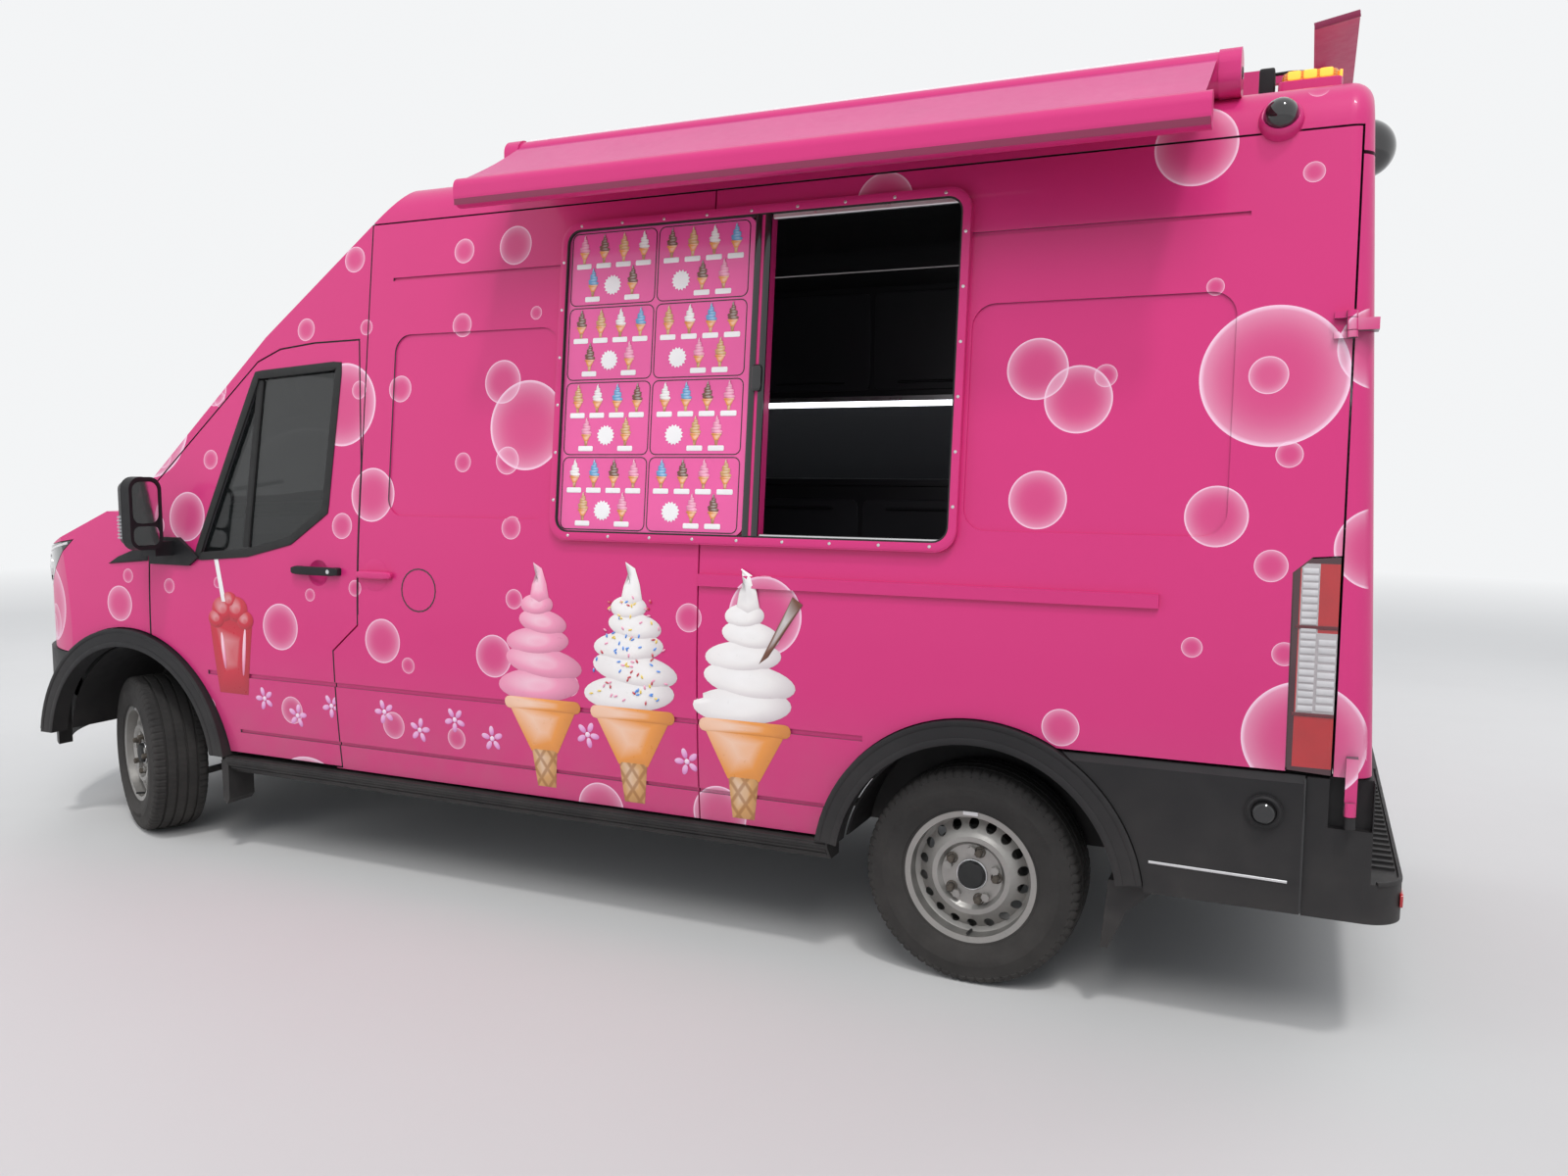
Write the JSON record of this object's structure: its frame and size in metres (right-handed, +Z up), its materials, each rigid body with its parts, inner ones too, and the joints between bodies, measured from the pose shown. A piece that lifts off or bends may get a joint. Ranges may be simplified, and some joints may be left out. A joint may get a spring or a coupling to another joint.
{
  "type": "ice cream truck",
  "caption": "High-roof van made into an ice cream truck: serving hatch, roll-out awning, roof sign, hinged doors, steered front wheels.",
  "frame": {"origin": "on the ground under the middle of the vehicle, where the tyres stand", "axes": "+X forward, +Y to the vehicle's left, +Z up"},
  "size_m": [5.981, 2.474, 3],
  "materials": {
    "pink_paint": "satin body paint, pink",
    "black_plastic": "grained black plastic",
    "clear_glass": "tinted clear glass",
    "dark_glass": "dark tinted glass",
    "lamp_clear": "clear lamp lens over silver",
    "lamp_red": "red lamp lens",
    "lamp_amber": "amber lens",
    "tyre": "tyre rubber",
    "wheel_steel": "grey painted pressed steel",
    "chassis_black": "black chassis paint",
    "cast_iron": "bare cast iron",
    "exhaust_steel": "dull steel",
    "stainless": "brushed stainless steel",
    "awning_cloth": "coated awning cloth, pink",
    "seat_cloth": "dark grey seat cloth",
    "floor_vinyl": "grey vinyl floor",
    "dash_plastic": "dark grey dashboard plastic",
    "sign_board": "pink sign board",
    "menu_board": "printed menu board",
    "dome_black": "black dome"
  },
  "bodies": {
    "root": {"arch_flares": "black_plastic", "awning_cassette": "pink_paint", "awning_fabric": "awning_cloth", "awning_rail": "pink_paint", "beacon_bar": "lamp_amber", "cab_roof": "pink_paint", "cab_seats": "seat_cloth", "chassis_frame": "chassis_black", "cowl": "black_plastic", "dashboard": "dash_plastic", "exhaust": "exhaust_steel", "floor_pan": "floor_vinyl", "front_bumper": "black_plastic", "front_suspension": "chassis_black", "front_wings": "pink_paint", "fuel_tank": "black_plastic", "galley_units": "stainless", "grille": "black_plastic", "hatch_frame": "pink_paint", "headlamps": "lamp_clear", "menu_panel": "menu_board", "nose_panel": "pink_paint", "powertrain": "cast_iron", "rear_axle": "chassis_black", "rear_bumper": "black_plastic", "rear_camera": "dome_black", "rear_cladding": "black_plastic", "roof_panel": "pink_paint", "roof_sign": "sign_board", "side_dome": "dome_black", "side_rear_left": "pink_paint", "side_right": "pink_paint", "side_sealed_left": "pink_paint", "sills": "black_plastic", "spare_wheel": "tyre", "tail_lamps": "lamp_red", "wheel_housings": "black_plastic", "windscreen": "clear_glass"},
    "steer_left_body": {"knuckle_left": "cast_iron"},
    "steer_right_body": {"knuckle_right": "cast_iron"},
    "wheel_front_left": {"tyre_front_left": "tyre", "rim_front_left": "wheel_steel"},
    "wheel_front_right": {"tyre_front_right": "tyre", "rim_front_right": "wheel_steel"},
    "wheel_rear_left": {"tyre_rear_left": "tyre", "rim_rear_left": "wheel_steel"},
    "wheel_rear_right": {"tyre_rear_right": "tyre", "rim_rear_right": "wheel_steel"},
    "door_left": {"door_front_left": "pink_paint", "glass_front_left": "clear_glass", "mirror_left": "black_plastic"},
    "door_right": {"door_front_right": "pink_paint", "glass_front_right": "clear_glass", "mirror_right": "black_plastic"},
    "rear_door_left": {"door_rear_left": "pink_paint", "glass_rear_left": "dark_glass"},
    "rear_door_right": {"door_rear_right": "pink_paint", "glass_rear_right": "dark_glass"},
    "bonnet_body": {"bonnet": "pink_paint"}
  },
  "joints": [
    {"name": "steer_left", "type": "hinge", "parent": "root", "child": "steer_left_body", "pos_m": [1.9675, 0.801, 0.348], "axis": [0, 0, 1], "range_deg": [-12, 61]},
    {"name": "steer_right", "type": "hinge", "parent": "root", "child": "steer_right_body", "pos_m": [1.9675, -0.801, 0.348], "axis": [0, 0, 1], "range_deg": [-12, 61]},
    {"name": "spin_front_left", "type": "hinge", "parent": "steer_left_body", "child": "wheel_front_left", "pos_m": [1.99456, 0.8601, 0.348], "axis": [0.4163, 0.9092, 0], "continuous": true},
    {"name": "spin_front_right", "type": "hinge", "parent": "steer_right_body", "child": "wheel_front_right", "pos_m": [1.94044, -0.8601, 0.348], "axis": [0.4163, 0.9092, 0], "continuous": true},
    {"name": "spin_rear_left", "type": "hinge", "parent": "root", "child": "wheel_rear_left", "pos_m": [-1.7825, 0.8715, 0.348], "axis": [0, 1, 0], "continuous": true},
    {"name": "spin_rear_right", "type": "hinge", "parent": "root", "child": "wheel_rear_right", "pos_m": [-1.7825, -0.8715, 0.348], "axis": [0, 1, 0], "continuous": true},
    {"name": "door_left_hinge", "type": "hinge", "parent": "root", "child": "door_left", "pos_m": [1.806, 1.04, 1.2], "axis": [0, 0, -1], "range_deg": [0, 70]},
    {"name": "door_right_hinge", "type": "hinge", "parent": "root", "child": "door_right", "pos_m": [1.806, -1.04, 1.2], "axis": [0, 0, 1], "range_deg": [0, 70]},
    {"name": "rear_door_left_hinge", "type": "hinge", "parent": "root", "child": "rear_door_left", "pos_m": [-2.847, 1.062, 0.704], "axis": [-0.0401, 0.0697, -0.9968], "range_deg": [0, 180]},
    {"name": "rear_door_right_hinge", "type": "hinge", "parent": "root", "child": "rear_door_right", "pos_m": [-2.847, -1.062, 0.704], "axis": [0.0401, 0.0697, 0.9968], "range_deg": [0, 180]},
    {"name": "bonnet_hinge", "type": "hinge", "parent": "root", "child": "bonnet_body", "pos_m": [2.04, 0, 1.45], "axis": [0, -1, 0], "range_deg": [0, 60]}
  ],
  "couplings": [
    {"joint": "steer_right", "follows": "steer_left", "ratio": 1}
  ]
}
